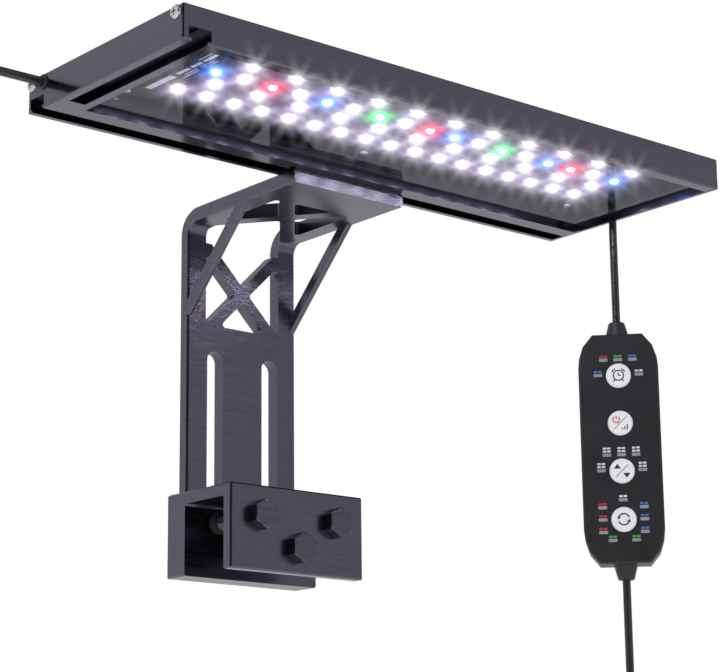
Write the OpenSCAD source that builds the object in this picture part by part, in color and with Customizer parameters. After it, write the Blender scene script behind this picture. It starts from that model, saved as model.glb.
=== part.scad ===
// LED aquarium light: a slim lamp head on a truss bracket, a clamp for the tank rim and an in-line
// controller. Everything is in millimetres. The origin is the middle of the clamp's seat, which rests
// on the tank rim. X runs along the lamp to its capped end, Y runs away from the water and Z is up.

/* [Lamp head] */
// Length of the lamp head
lamp_length = 300; // [295:1:310]
// Size of the lamp head from front to back
lamp_depth = 108; // [107:0.5:110]
// Thickness of the lamp head
lamp_height = 14.5; // [14.5:0.1:16]
// Length of the smooth block at the left end
end_block_length = 15.6; // [15.2:0.1:17]
// Thickness of the plate that closes the right end
end_cap_thickness = 2.2; // [1.8:0.1:3]
// Distance from the lamp's left end to the middle of the bracket
lamp_overhang = 159.3; // [120:0.1:170]
// Depth of the light window below the lamp's underside
window_recess = 2.2; // [1.5:0.1:2.4]

/* [Lights] */
// Side of a square light package
led_size = 5; // [3.5:0.1:5.4]
// Spacing in the two dense rows
led_pitch = 14.3; // [13.5:0.1:14.5]
// Spacing in the two open rows
led_wide_pitch = 21.8; // [20:0.1:22]

/* [Bracket] */
// Width of the bracket plate
bracket_width = 63; // [60:0.5:63]
// Thickness of the bracket plate
plate = 6.5; // [5.5:0.1:6.5]
// Height of the arm's top above the tank rim
arm_top = 140.4; // [139:0.1:145]
// Radius of the bend between the arm and the column
bend_radius = 12; // [10:0.5:14]
// Width of the height slots, for M8 screws
slot_width = 9; // [8.6:0.1:10]

/* [Clamp] */
// Width of the clamp
clamp_width = 75; // [72:0.5:80]
// Opening of the channel that takes the rim
rim_gap = 29; // [28:0.5:32]
// Depth of the channel below the seat
rim_depth = 32.2; // [32:0.1:34]
// Thickness of the web over the rim
web = 5.6; // [5:0.1:7]
// Thickness of the leg in front of the glass
front_leg = 5.2; // [5:0.1:6]
// Thickness of the leg behind the glass
back_leg = 13.8; // [13.8:0.1:15]
// Size of the hexagon heads across their flats
hex_flats = 12; // [11:0.1:13]

/* [Controller] */
// Width of the controller case
case_width = 37.5; // [36:0.5:40]
// Height of the controller case
case_height = 109; // [106:0.5:112]
// Thickness of the controller case
case_depth = 15; // [14.6:0.1:16]
// Diameter of a button
button_diameter = 11.7; // [11:0.1:12]
// Spacing of the buttons
button_pitch = 22.8; // [22:0.1:23.2]
// Direction that the case faces, in degrees about the vertical
case_turn = -47.5; // [-60:0.5:-30]

/* [Cords] */
// Diameter of both cords
cord_diameter = 3.8; // [3.4:0.1:3.8]
// Bend radius at the folds of the tied hank
fold_radius = 11.5; // [11.5:0.1:12]
// Straight length of the hank's runs
hank_run = 57; // [57:1:64]
// Number of turns in the hank
hank_turns = 4; // [3:1:5]

/* [Hidden] */
$fn = 48;

anodised = [0.30, 0.29, 0.35];
dark_plastic = [0.16, 0.16, 0.17];
cord_grey = [0.17, 0.16, 0.18];
steel = [0.72, 0.72, 0.74];
black_steel = [0.24, 0.23, 0.27];
rubber = [0.09, 0.09, 0.09];
past = 1;                                     // how far a cut runs past the faces that it opens

// Lamp head
lamp_lift = 0.1;                              // running gap between the arm and the lamp
lamp_at = [-lamp_overhang, -152, arm_top + lamp_lift];
extrusion_end = lamp_length - end_cap_thickness;
edge = 0.5;
front_edge = 0.8;
window_near = 6;
window_far = lamp_depth - 18.6;
ledge = 3;
cover_thickness = 2;
seal_thickness = 0.5;
cover_top = window_recess + cover_thickness;
cavity_floor = cover_top + seal_thickness;
cavity_top = 12.1;
pad_thickness = 0.4;
board_thickness = 1.6;
board_top = cavity_top - pad_thickness;
board_bottom = board_top - board_thickness;
led_height = 1.6;
board_gap = 0.3;
duct_far = lamp_depth - 7.5;
duct_bottom = 8;
lip = 1.2;
rail_center = lamp_depth - 6.8;               // T-slot along the far edge, which the bracket holds
rail_mouth = 7.6;
rail_width = 10.2;
rail_top = 5.6;
side_slot_center = 7.9;                       // T-slot across the left end block
side_slot_mouth = 7.5;
side_slot_width = 10.5;
side_slot_top = 5.7;
side_slot_end = 83.8;
end_screws = [[3.8, 11.4], [lamp_depth - 3.8, 11.4]];
end_screw_radius = 1.5;
end_screw_clearance = 1.7;
gland_at = [97, 10.9];
gland_radius = 2.4;
gland_collar = 0.8;
board_screw_x = [30, 157, 285];
board_screw_y = [14, 82];
board_screw_radius = 1.25;

// The rows of lights from front to back: distance from the front, first light, spacing, colours
led_rows = [[25.5, 52.4, led_wide_pitch, "WWWWWWWWWWW"],
    [39, 43.9, led_pitch, "BWRWBWGWRBWGWBRWB"],
    [51, 52.4, led_wide_pitch, "WWWWWWWWWWW"],
    [65, 43.9, led_pitch, "WWWWWWWWWWWWWWWWW"]];

// Clamp: the channel is centred on the origin, and the seat is at height 0
clamp_front = -rim_gap / 2 - front_leg;
clamp_back = rim_gap / 2 + back_leg;
pocket_floor = clamp_back - plate - 0.15;
clamp_edge = 0.8;
screw_radius = 4;
thread_gap = 0.05;
head_height = 5;
clamp_screw_at = [[-21, -7.8], [0, -20.8], [21, -7.8]];
clamp_screw_length = 29.5;
screw_pad_radius = 4.6;
pad_near = 7.5;
pad_far = 13;
column_screw_x = 15.8;
column_screw_z = -14;
column_screw_length = 14;
washer_thickness = 1.6;
washer_radius = 8;

// Bracket
column_front = clamp_back - plate;
arm_bottom = arm_top - plate;
arm_front = -57.6;
half = bracket_width / 2;
bracket_edge = 0.9;
window_corner = 1.5;
arm_window = 21.4;                            // half the width of the openings in the arm
arm_window_front = -32.2;
arm_cross = -12.3;                            // where the arm's diagonals cross
arm_slope = 1.27;                             // steepness of the arm's diagonals
arm_bar = 7;
column_window = 21.3;
column_window_bottom = 86.7;
column_cross = 104;
column_bar = 5.3;
slot_bottom = -24;
slot_top = 74.6;
brace_low = 111.5;                            // the braces lie between the lines y + z = low and high
brace_high = 120.7;
brace_thickness = 3;
tongue_neck = 7;
tongue_head = 9.8;
tongue_head_from = lamp_lift + lip + 0.2;
tongue_head_height = 3.9;

// Controller: X runs across its face, Y runs up it and Z comes out of it, from the case's middle
case_at = [146.7, -80, 31.2];
wall = 1.6;
case_corner = [[7, 0], [2.4, 5.6], [0.5, 11.5], [0, 16]];   // in from its sides, and from its ends
case_edge = 0.8;
front_wall = case_depth / 2 - wall;
button_rows = [1.5, 0.5, -0.5, -1.5] * button_pitch;
button_gap = 0.25;
button_proud = 1;
button_flange = 1;
circuit_front = -1;
circuit_thickness = 1.6;
switch_height = 2.5;
plunger_height = 0.8;
button_stem_end = circuit_front + switch_height + plunger_height + 0.7;
boss_y = [button_pitch, -button_pitch];
boss_radius = 2.4;
case_screw_radius = 1;
relief_length = 7;
relief_neck = 3;
// Indicator windows around the buttons: across, above the button's middle, for each group
lamp_size = [4, 1.5];
status_ring = [[-6.8, 7.8], [0, 7.8], [6.8, 7.8], [-9.6, 0.5], [9.6, 0.5]];
mode_ring = [[0, 9.3], [-9.6, 5.8], [-9.6, 0.1], [-9.6, -5.8],
    [9.6, 5.8], [9.6, 0.1], [9.6, -5.8], [-5.4, -9.6], [5.4, -9.6]];
indicator_at = concat([for (p = status_ring) p + [0, button_rows[0]]],
    [for (p = status_ring) p + [0, button_rows[2]]],
    [for (p = mode_ring) p + [0, button_rows[3]]]);

// Cords: routes in millimetres from the lamp head's lower front left corner
cord_radius = cord_diameter / 2;
cord_sides = 8;
coil_center = [100, 62];
coil_start = 31;                              // radius where the spiral of flat turns begins
coil_turns = 4;
coil_floor = lamp_height + 0.7;
cord_out_route = [[-0.8, 97, 10.9], [-11, 97, 10.9], [-22, 97, 10.9], [-30, 99, 11.8],
    [-35.5, 104, 14], [-37.5, 111, 17], [-35.5, 118.5, 20], [-30, 123.5, 22.4],
    [-22, 125.5, 23.2], [-12, 125.5, 23.2], [-2, 125.5, 23.2], [8, 125, 23], [17, 123, 22.4],
    [26, 119.6, 21.3], [34, 115.4, 20], [42, 110.4, 18.8], [50, 105.4, 17.8], [58, 101.2, 17.2],
    [67, 97.6, 17.1], [77, 94.9, 17.1], [88, 93.4, 17.1], [100, 93, 17.1]];
cord_in_route = [[100, 77.8, 18.9], [104, 77.9, 20], [109, 78, 20.9], [119, 78.2, 21.1],
    [129, 78.3, 21], [139, 78.2, 20], [150, 77.8, 18], [161, 77.3, 16.7], [172, 76.6, 16.4],
    [183, 75.9, 16.4], [194, 75.2, 16.4], [205, 74.5, 16.4], [216, 73.9, 16.4], [227, 73.3, 16.4],
    [238, 72.8, 16.4], [249, 72.4, 16.4], [258, 72.1, 16.6], [267, 72, 17.3], [275, 72, 18.7],
    [283, 72, 20.4], [291, 72, 21.2], [298.4, 72, 19.2], [304, 72, 13.6], [306, 72, 6],
    [306, 72, -4], [306, 72, -14], [306, 72, -25], [306, 72, -36], [306, 72, -47.8]];
tie_width = 5;
tie_thickness = 0.6;

// The supply cord hangs from the case: across, into the case and up from the case's middle
cord_from_case = -case_height / 2 - relief_length;
hank_top = -125;                              // height of the upper folds' middle
hank_step = 3.9;
plug_from = -205;
plug_length = 25;
plug_radius = 5;
barrel_length = 9.5;
barrel_radius = 2.75;
barrel_bore = 1.05;
supply_down_route = [[0, 0, cord_from_case], [0, 0, -72], [0, 0, -83], [0, 0, -94],
    [0, 0, -105], [0, 0, -116], [0, 0, hank_top]];
supply_end_route = [[0, hank_turns * hank_step, -186], [0, hank_turns * hank_step, -195],
    [0, hank_turns * hank_step, plug_from]];

// Places and directions

module in_lamp() {
    translate(lamp_at) children();
}

module hanging_from_case() {
    translate(case_at) rotate([0, 0, case_turn]) children();
}

module in_case() {
    hanging_from_case() rotate([90, 0, 0]) children();
}

// Extrudes an outline of Y and Z along X
module along_x(from, to) {
    translate([from, 0, 0]) rotate([90, 0, 90]) linear_extrude(to - from) children();
}

// Extrudes an outline of X and Z along Y
module along_y(from, to) {
    translate([0, to, 0]) rotate([90, 0, 0]) linear_extrude(to - from) children();
}

module mirrored_x() {
    children();
    mirror([1, 0, 0]) children();
}

// A cutter that bevels an edge along X of a body that lies behind the edge and below it
module bevel_cutter(length, size) {
    reach = 4;
    rotate([45, 0, 0]) translate([0, -reach / 2, -size / sqrt(2)]) cube([length, reach, reach]);
}

// An outline whose slanted sides bevel both ends of a block, and which is clear of its long sides
function pointed_ends(length, height, size) = let (r = 5)
    [[size - height / 2, height / 2], [size + r, -r], [length - size - r, -r],
    [length - size + height / 2, height / 2], [length - size - r, height + r], [size + r, height + r]];

function cut_corners(w, h, c) = [[c, 0], [w - c, 0], [w, c], [w, h - c], [w - c, h], [c, h],
    [0, h - c], [0, c]];

// The line that runs a distance inside an edge of a counterclockwise outline: a point, a direction
function inner_line(p, q, r) =
    let (d = (q - p) / norm(q - p)) [p + r * [-d[1], d[0]], d];

function meeting(a, b) =
    let (s = b[0] - a[0], u = a[1], v = b[1])
    a[0] + u * (s[0] * v[1] - s[1] * v[0]) / (u[0] * v[1] - u[1] * v[0]);

function inset(outline, r) = let (n = len(outline)) [for (i = [0 : n - 1])
    meeting(inner_line(outline[(i + n - 1) % n], outline[i], r),
        inner_line(outline[i], outline[(i + 1) % n], r))];

// A convex outline with its corners rounded. Each corner's circle stands out by a hair, so that it
// crosses the straight sides rather than grazes them
module rounded(outline, r) {
    hair = 0.02;
    core = inset(outline, r);
    n = len(core);
    out = [for (i = [0 : n - 1])
        let (run = core[(i + 1) % n] - core[i]) r / norm(run) * [run[1], -run[0]]];
    polygon([for (i = [0 : n - 1]) each [core[i] + out[(i + n - 1) % n], core[i] + out[i]]]);
    for (p = core) translate(p) circle(r + hair);
}

// Tubes that follow a route

function unit(v) = v / norm(v);

function heading(route, i) =
    unit(route[min(i + 1, len(route) - 1)] - route[max(i - 1, 0)]);

// A direction square to the route at each point, carried along it without twisting
function sides_of(route, last, i = 0) =
    let (t = heading(route, i), n = unit(last - t * (last * t)))
    i == len(route) - 1 ? [n] : concat([n], sides_of(route, n, i + 1));

module tube(route, radius, sides, side = [0, 0, 1]) {
    normals = sides_of(route, side);
    count = len(route);
    rings = [for (i = [0 : count - 1]) let (t = heading(route, i), b = cross(t, normals[i]))
        for (k = [0 : sides - 1])
            route[i] + radius * (cos(360 * k / sides) * normals[i] + sin(360 * k / sides) * b)];
    walls = [for (i = [0 : count - 2]) for (k = [0 : sides - 1]) let (next = (k + 1) % sides)
        [i * sides + k, (i + 1) * sides + k, (i + 1) * sides + next, i * sides + next]];
    first = [for (k = [0 : sides - 1]) k];
    final = [for (k = [sides - 1 : -1 : 0]) (count - 1) * sides + k];
    polyhedron(rings, concat([first, final], walls));
}

// Fasteners, with the head up from height 0 and the shank down

module cross_slot(length, width, depth) {
    for (turn = [0, 90]) rotate(turn) translate([-length / 2, -width / 2, -depth])
        cube([length, width, depth + past]);
}

module pan_screw(head_radius, head, radius, length) {
    difference() {
        rotate_extrude() polygon([[0, -length], [radius - 0.2, -length], [radius, -length + 0.3],
            [radius, 0], [head_radius, 0], [head_radius, head * 0.5], [head_radius * 0.85, head * 0.85],
            [head_radius * 0.5, head], [0, head]]);
        translate([0, 0, head]) cross_slot(head_radius * 1.1, head_radius * 0.22, head * 0.55);
    }
}

module hex_screw(length) {
    corner = hex_flats / sqrt(3);
    intersection() {
        rotate(30) cylinder(r = corner, h = head_height, $fn = 6);
        rotate_extrude() polygon([[0, 0], [corner - 0.5, 0], [corner, 0.5], [corner, head_height - 0.8],
            [corner - 1.1, head_height], [0, head_height]]);
    }
    translate([0, 0, -length]) rotate_extrude() polygon([[0, 0], [screw_radius - 0.8, 0],
        [screw_radius, 0.8], [screw_radius, length], [0, length]]);
}

// Clamp

module clamp_outline() {
    polygon([[clamp_front + clamp_edge, -rim_depth], [-rim_gap / 2, -rim_depth],
        [-rim_gap / 2, -clamp_edge], [-rim_gap / 2 + clamp_edge, 0], [rim_gap / 2 - clamp_edge, 0],
        [rim_gap / 2, -clamp_edge], [rim_gap / 2, -rim_depth], [clamp_back, -rim_depth],
        [clamp_back, web - clamp_edge], [clamp_back - clamp_edge, web],
        [clamp_front + clamp_edge, web], [clamp_front, web - clamp_edge],
        [clamp_front, -rim_depth + clamp_edge]]);
}

// The clamp's block with its end edges bevelled
module clamp_block() {
    deep = clamp_back - clamp_front;
    intersection() {
        along_x(-clamp_width / 2, clamp_width / 2) clamp_outline();
        along_y(clamp_front - past, clamp_back + past) translate([-clamp_width / 2, -rim_depth])
            polygon(pointed_ends(clamp_width, rim_depth + web, clamp_edge));
        translate([-clamp_width / 2, clamp_front, -rim_depth - past])
            linear_extrude(rim_depth + web + 2 * past) polygon(pointed_ends(clamp_width, deep, clamp_edge));
    }
}

module clamp_body() {
    column_pocket = bracket_width + 0.4;
    hole_depth = 6.4;
    color(anodised) difference() {
        clamp_block();
        translate([-column_pocket / 2, pocket_floor, -rim_depth - past])
            cube([column_pocket, plate + past, rim_depth + web + 2 * past]);
        for (p = clamp_screw_at) translate([p[0], -rim_gap / 2 + past, p[1]])
            rotate([90, 0, 0]) cylinder(r = screw_radius + thread_gap, h = front_leg + 2 * past);
        mirrored_x() translate([column_screw_x, pocket_floor + past, column_screw_z])
            rotate([90, 0, 0]) cylinder(r = screw_radius, h = past + hole_depth);
    }
}

module column_screws() {
    color(black_steel) mirrored_x() translate([column_screw_x, clamp_back + washer_thickness, column_screw_z])
        rotate([-90, 0, 0]) hex_screw(column_screw_length);
}

module column_washers() {
    color(black_steel) mirrored_x() translate([column_screw_x, clamp_back, column_screw_z])
        rotate([-90, 0, 0]) difference() {
            cylinder(r = washer_radius, h = washer_thickness);
            translate([0, 0, -past]) cylinder(r = screw_radius + 0.2, h = washer_thickness + 2 * past);
        }
}

module clamp_screw(i) {
    color(black_steel) translate([clamp_screw_at[i][0], clamp_front - 0.2, clamp_screw_at[i][1]])
        rotate([90, 0, 0]) hex_screw(clamp_screw_length);
}

// A rubber cap that sits on the end of a clamping screw
module screw_pad(i) {
    tip = clamp_front - 0.2 + clamp_screw_length;
    color(rubber) translate([clamp_screw_at[i][0], 0, clamp_screw_at[i][1]]) rotate([-90, 0, 0])
        rotate_extrude() polygon([[screw_radius + 0.1, pad_near], [screw_pad_radius, pad_near],
            [screw_pad_radius, pad_far - 0.6], [screw_pad_radius - 0.6, pad_far], [0, pad_far],
            [0, tip + 0.05], [screw_radius + 0.1, tip + 0.05]]);
}

// Bracket

function arm_bar_reach() = arm_bar / 2 * sqrt(1 + arm_slope * arm_slope);

// The openings in the arm, seen from above
module arm_openings() {
    reach = arm_bar_reach();
    base = (arm_cross - reach - arm_window_front) / arm_slope;
    side = arm_slope * arm_window - reach;
    rounded([[-base, arm_window_front], [base, arm_window_front], [0, arm_cross - reach]], window_corner);
    mirrored_x() rounded([[reach / arm_slope, arm_cross], [arm_window, arm_cross - side],
        [arm_window, arm_cross + side]], window_corner);
    back = arm_cross + reach + arm_slope * arm_window;
    rounded([[0, arm_cross + reach], [arm_window, back], [arm_window, clamp_back + 10],
        [-arm_window, clamp_back + 10], [-arm_window, back]], window_corner);
}

// The openings in the column, seen from the front
module column_openings() {
    reach = column_bar / sqrt(2);
    base = column_cross - reach - column_window_bottom;
    side = column_window - reach;
    rounded([[-base, column_window_bottom], [base, column_window_bottom], [0, column_cross - reach]],
        window_corner);
    mirrored_x() rounded([[reach, column_cross], [column_window, column_cross - side],
        [column_window, column_cross + side]], window_corner);
    top = column_cross + reach + column_window;
    rounded([[0, column_cross + reach], [column_window, top], [column_window, arm_top + 10],
        [-column_window, arm_top + 10], [-column_window, top]], window_corner);
    mirrored_x() for (z = [slot_bottom + slot_width / 2, slot_top - slot_width / 2])
        translate([column_screw_x, z]) circle(slot_width / 2);
    mirrored_x() translate([column_screw_x - slot_width / 2, slot_bottom + slot_width / 2])
        square([slot_width, slot_top - slot_bottom - slot_width]);
}

// The bent plate with bevelled edges: arm, bend and column
module bent_plate() {
    bend = [clamp_back - bend_radius, arm_top - bend_radius];
    along_y(arm_front, bend[0]) translate([-half, arm_bottom])
        polygon(cut_corners(bracket_width, plate, bracket_edge));
    translate([-half, column_front, -rim_depth]) linear_extrude(rim_depth + bend[1])
        polygon(cut_corners(bracket_width, plate, bracket_edge));
    translate([0, bend[0], bend[1]]) rotate([90, 0, 90]) rotate_extrude(angle = 90)
        translate([bend_radius - plate, -half]) polygon(cut_corners(plate, bracket_width, bracket_edge));
}

// Bars that brace the corner at both sides, bevelled along their edges
module braces() {
    root = 0.3;                               // how far a bar's lower edge runs into the plate
    upper = brace_low - 2 * (arm_bottom + root);
    lower = 2 * (column_front + root) - brace_low;
    mirrored_x() translate([half - brace_thickness, (brace_low + upper) / 2, (brace_low - upper) / 2])
        rotate([-45, 0, 0]) along_y(0, (lower - upper) / sqrt(2))
            polygon(cut_corners(brace_thickness, (brace_high - brace_low) / sqrt(2), bracket_edge));
}

// The T-shaped rail along the arm's front that slides in the lamp
module tongue() {
    y = lamp_at[1] + rail_center;
    translate([-half, y - tongue_neck / 2, arm_top - 0.5])
        cube([bracket_width, tongue_neck, tongue_head_from + 0.6]);
    translate([-half, y - tongue_head / 2, arm_top + tongue_head_from])
        cube([bracket_width, tongue_head, tongue_head_height]);
}

module bracket() {
    color(anodised) union() {
        difference() {
            bent_plate();
            translate([0, 0, arm_bottom - 8]) linear_extrude(plate + 10) arm_openings();
            along_y(column_front - 0.1, clamp_back + past) column_openings();
        }
        braces();
        tongue();
    }
}

// Lamp head

module lamp_outline() {
    polygon([[front_edge, 0], [lamp_depth - edge, 0], [lamp_depth, edge], [lamp_depth, lamp_height - edge],
        [lamp_depth - edge, lamp_height], [edge, lamp_height], [0, lamp_height - edge], [0, front_edge]]);
}

module tee_slot(center, mouth, width, top) {
    translate([center - mouth / 2, -past]) square([mouth, lip + past + 0.1]);
    translate([center - width / 2, lip]) square([width, top - lip]);
}

module rail_slot() {
    tee_slot(rail_center, rail_mouth, rail_width, rail_top);
}

module end_screw_holes(radius) {
    for (p = end_screws) translate(p) circle(radius);
}

// A stretch of the lamp's outline whose edges are bevelled at the lamp's two ends
module lamp_stretch(from, to) {
    intersection() {
        along_x(from, to) lamp_outline();
        along_y(-past, lamp_depth + past) polygon(pointed_ends(lamp_length, lamp_height, edge));
        translate([0, 0, -past]) linear_extrude(lamp_height + 2 * past)
            polygon(pointed_ends(lamp_length, lamp_depth, edge));
    }
}

module at_board_screws() {
    for (x = board_screw_x) for (y = board_screw_y) translate([x, y, 0]) children();
}

module lamp_housing() {
    color(anodised) in_lamp() difference() {
        along_x(end_block_length, extrusion_end) difference() {
            lamp_outline();
            translate([window_near, -past]) square([window_far - window_near, cavity_floor + past]);
            translate([window_near + ledge, cavity_floor - past])
                square([window_far - window_near - 2 * ledge, cavity_top - cavity_floor + past]);
            translate([window_far - ledge - past, duct_bottom])
                square([duct_far - window_far + ledge + past, cavity_top - duct_bottom]);
            rail_slot();
            end_screw_holes(end_screw_radius);
        }
        at_board_screws() translate([0, 0, cavity_top - past])
            cylinder(r = board_screw_radius, h = 1.7 + past);
    }
}

module left_end_block() {
    color(anodised) in_lamp() difference() {
        lamp_stretch(0, end_block_length);
        along_x(-past, end_block_length + past) {
            rail_slot();
            end_screw_holes(end_screw_clearance);
            translate(gland_at) circle(gland_radius);
        }
        along_y(-past, side_slot_end)
            tee_slot(side_slot_center, side_slot_mouth, side_slot_width, side_slot_top);
    }
}

module right_end_cap() {
    color(anodised) in_lamp() difference() {
        lamp_stretch(extrusion_end, lamp_length);
        along_x(extrusion_end - past, lamp_length + past) end_screw_holes(end_screw_clearance);
    }
}

module led_board() {
    color([0.07, 0.07, 0.08]) in_lamp() difference() {
        translate([end_block_length + board_gap, window_near + ledge + board_gap, board_bottom])
            cube([extrusion_end - end_block_length - 2 * board_gap,
                window_far - window_near - 2 * ledge - 2 * board_gap, board_thickness]);
        at_board_screws() translate([0, 0, board_bottom - past])
            cylinder(r = board_screw_radius + 0.15, h = board_thickness + 2 * past);
    }
}

// One square light package with a round well in its face
module led_package() {
    difference() {
        translate([-led_size / 2, -led_size / 2, 0]) cube([led_size, led_size, led_height]);
        translate([0, 0, -past]) cylinder(r = led_size * 0.38, h = past + 0.4);
    }
}

module leds(kind, tint) {
    color(tint) in_lamp() for (row = led_rows) for (i = [0 : len(row[3]) - 1]) if (row[3][i] == kind)
        translate([row[1] + i * row[2], row[0], board_bottom - led_height]) led_package();
}

module white_leds() {
    leds("W", [0.98, 0.98, 1]);
}

module red_leds() {
    leds("R", [1, 0.2, 0.2]);
}

module green_leds() {
    leds("G", [0.2, 0.9, 0.4]);
}

module blue_leds() {
    leds("B", [0.2, 0.4, 1]);
}

module lens_cover() {
    gap = 0.1;
    color([0.85, 0.9, 1, 0.4]) in_lamp()
        translate([end_block_length + gap, window_near + gap, window_recess])
            cube([extrusion_end - end_block_length - 2 * gap, window_far - window_near - 2 * gap,
                cover_thickness]);
}

module cover_seal() {
    gap = 0.1;
    width = ledge - 0.2;
    size = [extrusion_end - end_block_length - 2 * gap, window_far - window_near - 2 * gap];
    color(rubber) in_lamp() translate([end_block_length + gap, window_near + gap, cover_top]) difference() {
        cube([size[0], size[1], seal_thickness]);
        translate([width, width, -past])
            cube([size[0] - 2 * width, size[1] - 2 * width, seal_thickness + 2 * past]);
    }
}

module thermal_pad() {
    inset_x = 4;
    inset_y = 1.5;
    color([0.75, 0.78, 0.8]) in_lamp() difference() {
        translate([end_block_length + inset_x, window_near + ledge + inset_y, board_top])
            cube([extrusion_end - end_block_length - 2 * inset_x,
                window_far - window_near - 2 * ledge - 2 * inset_y, pad_thickness]);
        at_board_screws() translate([0, 0, board_top - past])
            cylinder(r = board_screw_radius + 0.15, h = pad_thickness + 2 * past);
    }
}

module board_screws() {
    color(steel) in_lamp() at_board_screws() translate([0, 0, board_bottom]) mirror([0, 0, 1])
        pan_screw(2.2, 1.2, board_screw_radius, board_thickness + pad_thickness + 1.5);
}

module end_block_screws() {
    color(steel) in_lamp() for (p = end_screws) translate([0, p[0], p[1]]) rotate([0, -90, 0])
        pan_screw(2.8, 1.8, end_screw_radius, end_block_length + 9);
}

module end_cap_screws() {
    color(steel) in_lamp() for (p = end_screws) translate([lamp_length, p[0], p[1]]) rotate([0, 90, 0])
        pan_screw(2.8, 1.8, end_screw_radius, end_cap_thickness + 8);
}

module cable_gland() {
    depth = 11;
    conductor_hole = 1.6;
    color([0.62, 0.62, 0.66]) in_lamp() translate([0, gland_at[0], gland_at[1]]) rotate([0, 90, 0])
        rotate_extrude() polygon([[conductor_hole, -gland_collar], [2.9, -gland_collar],
            [3.2, -gland_collar + 0.3], [3.2, 0], [gland_radius, 0], [gland_radius, depth],
            [conductor_hole, depth]]);
}

module lead_wires() {
    radius = 0.65;
    color([0.7, 0.1, 0.1]) in_lamp() for (side = [-1, 1])
        tube([[0.5, 97 + side * 0.72, 10.9], [9, 97 + side * 0.72, 10.9], [16, 97 + side * 0.75, 10.4],
            [20, 96 + side * 0.8, 9.6], [22 + side * 1.3, 93 + side, 9.2], [22 + side * 1.4, 89, 9.1],
            [22 + side * 1.4, 84.5, 9.1]], radius, 8);
}

module wire_connector() {
    size = [7, 6, 2.8];
    color([0.9, 0.9, 0.86]) in_lamp()
        translate([22 - size[0] / 2, 84.5 - size[1], board_bottom - size[2]]) cube(size);
}

// Controller

function case_outline() = let (w = case_width / 2, h = case_height / 2, last = len(case_corner) - 1)
    concat([for (p = case_corner) [w - p[0], p[1] - h]],
        [for (i = [last : -1 : 0]) [w - case_corner[i][0], h - case_corner[i][1]]],
        [for (p = case_corner) [p[0] - w, h - p[1]]],
        [for (i = [last : -1 : 0]) [case_corner[i][0] - w, case_corner[i][1] - h]]);

// Bevels every edge of the case's front face
module case_bevels() {
    outline = case_outline();
    for (i = [0 : len(outline) - 1]) {
        run = outline[(i + 1) % len(outline)] - outline[i];
        translate([outline[i][0], outline[i][1], case_depth / 2]) rotate(atan2(run[1], run[0]))
            translate([-past, 0, 0]) bevel_cutter(norm(run) + 2 * past, case_edge);
    }
}

module relief_holes() {
    rotate([90, 0, 0]) translate([0, 0, -case_height / 2 - past])
        cylinder(r = relief_neck, h = case_height + 2 * past);
}

module controller_front() {
    color(dark_plastic) in_case() {
        difference() {
            linear_extrude(case_depth / 2) polygon(case_outline());
            translate([0, 0, -past]) linear_extrude(front_wall + past) polygon(inset(case_outline(), wall));
            for (y = button_rows) translate([0, y, 0])
                cylinder(r = button_diameter / 2 + button_gap, h = case_depth);
            for (p = indicator_at) translate([p[0] - lamp_size[0] / 2, p[1] - lamp_size[1] / 2, 0])
                cube([lamp_size[0], lamp_size[1], case_depth]);
            relief_holes();
            case_bevels();
        }
        for (y = boss_y) translate([0, y, circuit_front]) difference() {
            cylinder(r = boss_radius, h = front_wall - circuit_front + 0.1);
            translate([0, 0, -past]) cylinder(r = case_screw_radius, h = 4.5 + past);
        }
    }
}

module controller_back() {
    circuit_back = circuit_front - circuit_thickness;
    color(dark_plastic) in_case() difference() {
        union() {
            difference() {
                translate([0, 0, -case_depth / 2]) linear_extrude(case_depth / 2) polygon(case_outline());
                translate([0, 0, -front_wall]) linear_extrude(front_wall + past)
                    polygon(inset(case_outline(), wall));
                relief_holes();
                mirror([0, 0, 1]) case_bevels();
            }
            for (y = boss_y) translate([0, y, -front_wall - 0.1])
                cylinder(r = 3.2, h = front_wall + 0.1 + circuit_back);
        }
        for (y = boss_y) translate([0, y, -case_depth / 2 - past]) {
            cylinder(r = case_screw_radius + 0.15, h = case_depth / 2 + past);
            cylinder(r = 2.2, h = 1.4 + past);
        }
    }
}

module controller_board() {
    board = [30, 92];
    color([0.05, 0.3, 0.15]) in_case() difference() {
        translate([-board[0] / 2, -board[1] / 2, circuit_front - circuit_thickness])
            cube([board[0], board[1], circuit_thickness]);
        for (y = boss_y) translate([0, y, -case_depth / 2])
            cylinder(r = case_screw_radius + 0.15, h = case_depth);
    }
}

module tact_switches() {
    body = 6;
    color([0.2, 0.2, 0.2]) in_case() for (y = button_rows) translate([0, y, circuit_front]) {
        translate([-body / 2, -body / 2, 0]) cube([body, body, switch_height]);
        translate([0, 0, switch_height - 0.1]) cylinder(r = 1.6, h = plunger_height + 0.1);
    }
}

module indicator_lights() {
    color([0.55, 0.56, 0.58]) in_case() for (p = indicator_at)
        translate([p[0] - lamp_size[0] / 2, p[1] - lamp_size[1] / 2, front_wall - 0.4])
            cube([lamp_size[0], lamp_size[1], wall + 0.45]);
}

module controller_screws() {
    sunk = 1.4;
    color(steel) in_case() for (y = boss_y) translate([0, y, -case_depth / 2 + sunk]) rotate([180, 0, 0])
        pan_screw(2, 1.2, case_screw_radius, case_depth / 2 - sunk + 3);
}

// A short tapered sleeve that leads a cord out of the case, with a flange that holds it inside
module cord_relief() {
    wide = 5.6;
    narrow = 3.9;
    flange = 4.6;
    bottom = case_height / 2;
    color(dark_plastic) rotate_extrude() polygon([[0, bottom - wall - 1.5], [flange, bottom - wall - 1.5],
        [flange, bottom - wall], [relief_neck, bottom - wall], [relief_neck, bottom], [wide, bottom],
        [narrow, bottom + relief_length - 0.5], [narrow - 0.5, bottom + relief_length],
        [0, bottom + relief_length]]);
}

module top_relief() {
    hanging_from_case() cord_relief();
}

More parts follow.
